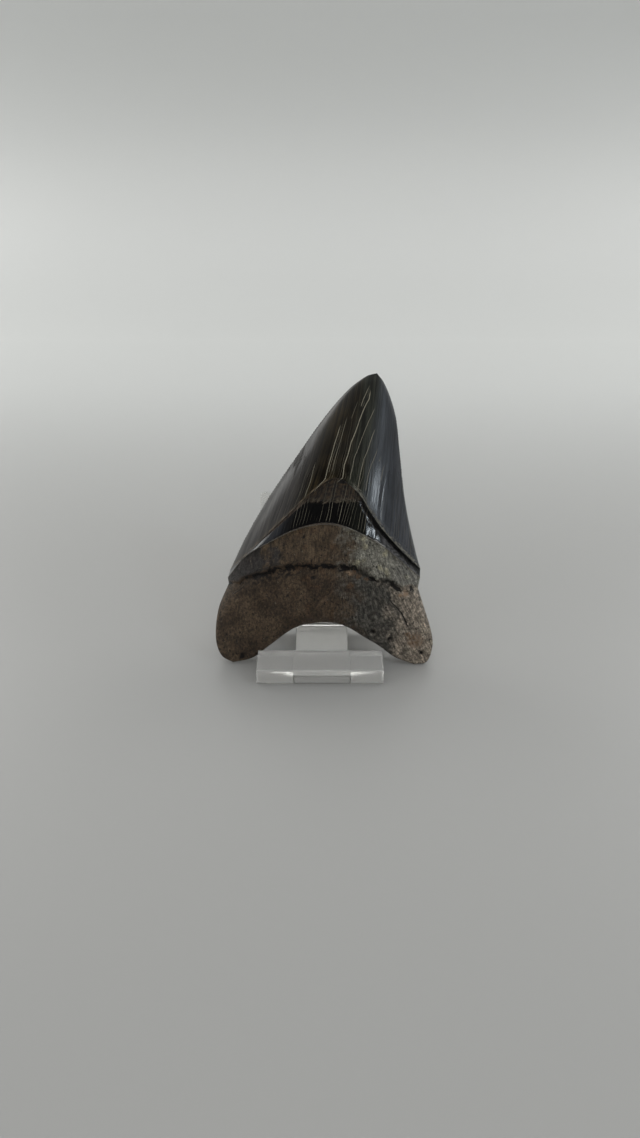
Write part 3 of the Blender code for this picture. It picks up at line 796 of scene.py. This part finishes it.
class Wiring:
    """Short ways to add and join the nodes of one finish."""

    def __init__(self, tree):
        self.tree = tree

    def node(self, kind, settings=None, **values):
        made = self.tree.nodes.new(kind)
        for name, value in (settings or {}).items():
            setattr(made, name, value)
        for name, value in values.items():
            self.feed(made.inputs[name.replace("_", " ")], value)
        return made

    def feed(self, socket, value):
        if isinstance(value, bpy.types.NodeSocket):
            self.tree.links.new(value, socket)
        elif value is not None:
            socket.default_value = value

    def calc(self, operation, *values):
        made = self.node("ShaderNodeMath", {"operation": operation})
        for socket, value in zip(made.inputs, values):
            self.feed(socket, value)
        return made.outputs[0]

    def total(self, *values):
        result = values[0]
        for value in values[1:]:
            result = self.calc("ADD", result, value)
        return result

    def times(self, *values):
        result = values[0]
        for value in values[1:]:
            result = self.calc("MULTIPLY", result, value)
        return result

    def attribute(self, name):
        return self.node("ShaderNodeAttribute", {"attribute_name": name}).outputs["Vector"]

    def split(self, vector):
        return self.node("ShaderNodeSeparateXYZ", Vector=vector).outputs

    def ease(self, value, start, end, low=0.0, high=1.0):
        made = self.node("ShaderNodeMapRange", {"interpolation_type": "SMOOTHSTEP"}, Value=value)
        for name, number in (("From Min", start), ("From Max", end), ("To Min", low), ("To Max", high)):
            made.inputs[name].default_value = number
        return made.outputs["Result"]

    def cloud(self, vector, scale, detail=2.0, roughness=0.5):
        return self.node("ShaderNodeTexNoise", Vector=vector, Scale=scale, Detail=detail,
                         Roughness=roughness).outputs["Fac"]

    def blend(self, share, low, high):
        made = self.node("ShaderNodeMix", {"data_type": "RGBA"})
        self.feed(made.inputs["Factor"], share)
        self.feed(made.inputs[6], (*low, 1) if isinstance(low, tuple) else low)
        self.feed(made.inputs[7], (*high, 1) if isinstance(high, tuple) else high)
        return made.outputs[2]

    def shade(self, color, tone):
        """The colour made darker or lighter by the tone."""
        made = self.node("ShaderNodeVectorMath", {"operation": "SCALE"})
        self.feed(made.inputs[0], color)
        self.feed(made.inputs["Scale"], tone)
        return made.outputs[0]


# What the finish adds to those colours.
PORE_DARK = (0.006, 0.0045, 0.0035)
FLECK_PALE = (0.26, 0.22, 0.16)
LINE_PALE = (0.24, 0.22, 0.165)
CRACK_DARK = (0.003, 0.0022, 0.0018)
CRACK_PALE = (0.29, 0.265, 0.20)
CRACK_SIDE = (0.17, 0.155, 0.13)
BAND_RIM = (0.17, 0.155, 0.125)
OCHRE_STAIN = (0.20, 0.105, 0.048)
TAN_STAIN = (0.40, 0.27, 0.17)
HOLE_SHADE = (0.0045, 0.003, 0.0025)
FOSSIL_IOR = 1.42


def fossil_finish():
    """Base colour, stains and painted pit shade come with the points; grit, fibres, pores and thin lines are
    added here.
    """
    material = paint("fossil", (0.03, 0.028, 0.025), 0.25)
    shader = material.node_tree.nodes["Principled BSDF"]
    w = Wiring(material.node_tree)
    plan = w.attribute("plan")
    from_groove, over_band, over_enamel = w.split(w.attribute("lines"))
    rough, contrast, porous = w.split(w.attribute("surface"))
    grit = w.cloud(plan, 1.9, 3.0, 0.75)
    fibre = w.cloud(w.attribute("fibre"), 1.0, 5.0, 0.68)
    matt = w.ease(rough, 0.42, 0.54)
    grit_tone = w.total(w.times(w.total(w.ease(grit, 0.3, 0.7, 0.6, 1.22), -1.0), matt), 1.0)
    tone = w.times(grit_tone, w.ease(fibre, 0.3, 0.7, 0.5, 1.3))
    color = w.shade(w.attribute("tint"), w.calc("POWER", tone, contrast))

    warp = w.node("ShaderNodeTexNoise", Vector=plan, Scale=1.6, Detail=2.0).outputs["Color"]
    uneven = w.node("ShaderNodeVectorMath", {"operation": "MULTIPLY_ADD"})
    for socket, value in zip(uneven.inputs, (warp, (1.3, 2.2, 1.3), plan)):
        w.feed(socket, value)
    pocks = w.node("ShaderNodeTexVoronoi", Vector=uneven.outputs[0], Scale=0.72)
    which = w.split(pocks.outputs["Color"])
    size = w.times(w.ease(which[0], 0.45, 1.0), 0.32)
    pore = w.times(w.ease(w.calc("SUBTRACT", pocks.outputs["Distance"], size), 0.09, -0.04), porous)
    color = w.blend(w.times(pore, 0.85), color, PORE_DARK)
    fleck = w.times(w.ease(pocks.outputs["Distance"], 0.22, 0.12), w.ease(which[1], 0.84, 0.88), porous)
    color = w.blend(w.times(fleck, 0.7), color, FLECK_PALE)

    # fine parallel lines, each with its own strength and broken along its length
    place, share, _ = w.split(w.attribute("grain"))
    off = w.calc("ABSOLUTE", w.calc("SUBTRACT", w.calc("FRACT", place), 0.5))
    each = w.node("ShaderNodeTexWhiteNoise", {"noise_dimensions": "1D"},
                  W=w.calc("FLOOR", place)).outputs["Value"]
    broken = w.ease(w.total(w.cloud(plan, 0.22, 3.0), w.times(each, 0.35)), 0.5, 0.72)
    thin = w.times(w.ease(off, 0.075, 0.025), share, broken, w.total(w.calc("POWER", each, 1.6), 0.12))
    color = w.blend(thin, color, LINE_PALE)

    # cracks: pale with a painted shadow along one side in the crown, dark with a pale side in the root
    off, near, in_crown = w.split(w.attribute("crack"))
    line = w.times(w.ease(w.calc("ABSOLUTE", off), 0.95, 0.3), near, w.ease(grit, 0.3, 0.5, 0.55, 1.0))
    beside = w.times(w.ease(w.calc("ABSOLUTE", w.total(off, 1.5)), 1.3, 0.4), near, 0.6)
    color = w.blend(beside, color, w.blend(in_crown, CRACK_SIDE, CRACK_DARK))
    color = w.blend(line, color, w.blend(in_crown, CRACK_DARK, CRACK_PALE))
    line_on_crown = w.times(line, in_crown)

    # the pale rim along the foot of the band
    rim = w.times(w.ease(w.calc("ABSOLUTE", over_band), 0.34, 0.1), w.ease(grit, 0.35, 0.55, 0.4, 0.8))
    color = w.blend(rim, color, BAND_RIM)

    # stains, and the deep ragged groove between root and collar; its near black is painted shade in the
    # groove, and so is that of the dark spots in pits and notches
    dark, ochre, tan = w.split(w.attribute("stain_and_pit_shade"))
    color = w.blend(w.times(ochre, w.ease(grit, 0.4, 0.58), 0.75), color, OCHRE_STAIN)
    color = w.blend(w.times(tan, w.ease(grit, 0.34, 0.5), 0.9), color, TAN_STAIN)
    ragged = w.calc("MULTIPLY_ADD", w.cloud(plan, 0.75, 4.0, 0.75), 5.0, -2.5)
    deep = w.calc("ABSOLUTE", w.total(from_groove, ragged))
    wide = w.ease(w.cloud(plan, 0.21, 2.0), 0.42, 0.58, -0.12, 1.2)
    groove = w.ease(w.calc("SUBTRACT", deep, wide), 0.3, -0.25, 0.0, 0.97)
    hole = w.calc("MAXIMUM", groove, dark)
    # painted shade: near black in the groove, pits and notches
    color = w.blend(hole, color, HOLE_SHADE)

    # roughness and relief: open grit and fibre on the bone, a faint wave on the enamel below its tip
    roughness = w.total(rough, w.times(w.total(line_on_crown, thin), 0.25),
                        w.times(w.calc("SUBTRACT", grit, 0.5), matt, 0.45))
    wave = w.cloud(w.attribute("fibre"), 0.3, 2.0, 0.5)
    bone = w.total(w.times(fibre, 1.4), w.times(grit, 1.3), w.times(hole, -0.9))
    shell = w.times(wave, w.ease(w.split(plan)[1], 98.0, 76.0, 0.0, 0.2))
    height = w.node("ShaderNodeMix", {"data_type": "FLOAT"})
    for socket, value in zip((height.inputs[0], height.inputs[2], height.inputs[3]), (matt, shell, bone)):
        w.feed(socket, value)
    bump = w.node("ShaderNodeBump", Height=height.outputs[0], Distance=MM, Strength=1.0)
    w.feed(shader.inputs["Base Color"], color)
    w.feed(shader.inputs["Roughness"], roughness)
    w.feed(shader.inputs["Normal"], bump.outputs["Normal"])
    shader.inputs["IOR"].default_value = FOSSIL_IOR
    return material


# The mesh is grown upright, gets its serrations, and is then leant back and set on the floor.
fossil = fossil_finish()
raw = bpy.data.objects.new("raw tooth", tooth_mesh())
scene.collection.objects.link(raw)
tree, sockets = serration_tree()
cut = raw.modifiers.new("serrations", "NODES")
cut.node_group = tree
cut[sockets["Pitch"]] = SERRATION_PITCH
cut[sockets["Depth"]] = SERRATION_DEPTH * MM
cut[sockets["Finish"]] = fossil
seen = bpy.context.evaluated_depsgraph_get()
grown = bpy.data.meshes.new_from_object(raw.evaluated_get(seen), depsgraph=seen)
raw.modifiers.clear()
bpy.data.objects.remove(raw)
tooth = bpy.data.objects.new("fossil_tooth", grown)
scene.collection.objects.link(tooth)
tooth.rotation_euler.x = -LEAN
tooth.location = Vector(FOOT_PLACE) * MM
bpy.context.view_layer.update()
grown.transform(tooth.matrix_world)
grown.transform(Matrix.Translation((0, 0, -min(v.co.z for v in grown.vertices))))
tooth.rotation_euler = (0, 0, 0)
tooth.location = (0, 0, 0)
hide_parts("tooth")
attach(tooth, "root")


# ---------------------------------------------------------------- acrylic stand
# Three pieces of clear cast acrylic with flame-polished edges: a bar flat on the
# shelf, a block that bridges its front end, and a plate that leans back on it.
# The block and the bar are a little cloudier than the plate.
ACRYLIC_TINT = (0.99, 0.988, 0.965)
ACRYLIC_IOR = 1.49
# How much light goes through, and how dull the polish is.
CLOUDY_CLARITY, CLOUDY_HAZE = 0.73, 0.065
CLEAR_CLARITY, CLEAR_HAZE = 0.93, 0.015
WIPE_ANGLE = math.radians(24)
WIPE_FINENESS = (900.0, 60.0, 300.0)
WIPE_DULLS = 0.1


def acrylic(name, clarity, haze):
    """See-through, with a few faint wipe marks that dull the polish."""
    material = paint(name, ACRYLIC_TINT, haze)
    shader = material.node_tree.nodes["Principled BSDF"]
    shader.inputs["IOR"].default_value = ACRYLIC_IOR
    shader.inputs["Transmission Weight"].default_value = clarity
    w = Wiring(material.node_tree)
    place = w.node("ShaderNodeTexCoord").outputs["Object"]
    stretched = w.node("ShaderNodeMapping", Vector=place, Rotation=(0, 0, WIPE_ANGLE),
                       Scale=WIPE_FINENESS).outputs["Vector"]
    wiped = w.cloud(stretched, 1.0, 3.0)
    patchy = w.cloud(place, 55.0, 2.0)
    marks = w.times(w.ease(wiped, 0.55, 0.75), w.ease(patchy, 0.4, 0.65), WIPE_DULLS)
    w.feed(shader.inputs["Roughness"], w.total(haze, marks))
    bump = w.node("ShaderNodeBump", Height=patchy, Distance=MM, Strength=0.08)
    w.feed(shader.inputs["Normal"], bump.outputs["Normal"])
    return material


cloudy = acrylic("cloudy acrylic", CLOUDY_CLARITY, CLOUDY_HAZE)
clear = acrylic("clear acrylic", CLEAR_CLARITY, CLEAR_HAZE)
for name, finish in (("front_block", cloudy), ("base_bar", cloudy), ("back_plate", clear)):
    piece = nodes[name]
    piece.data.materials.clear()
    piece.data.materials.append(finish)
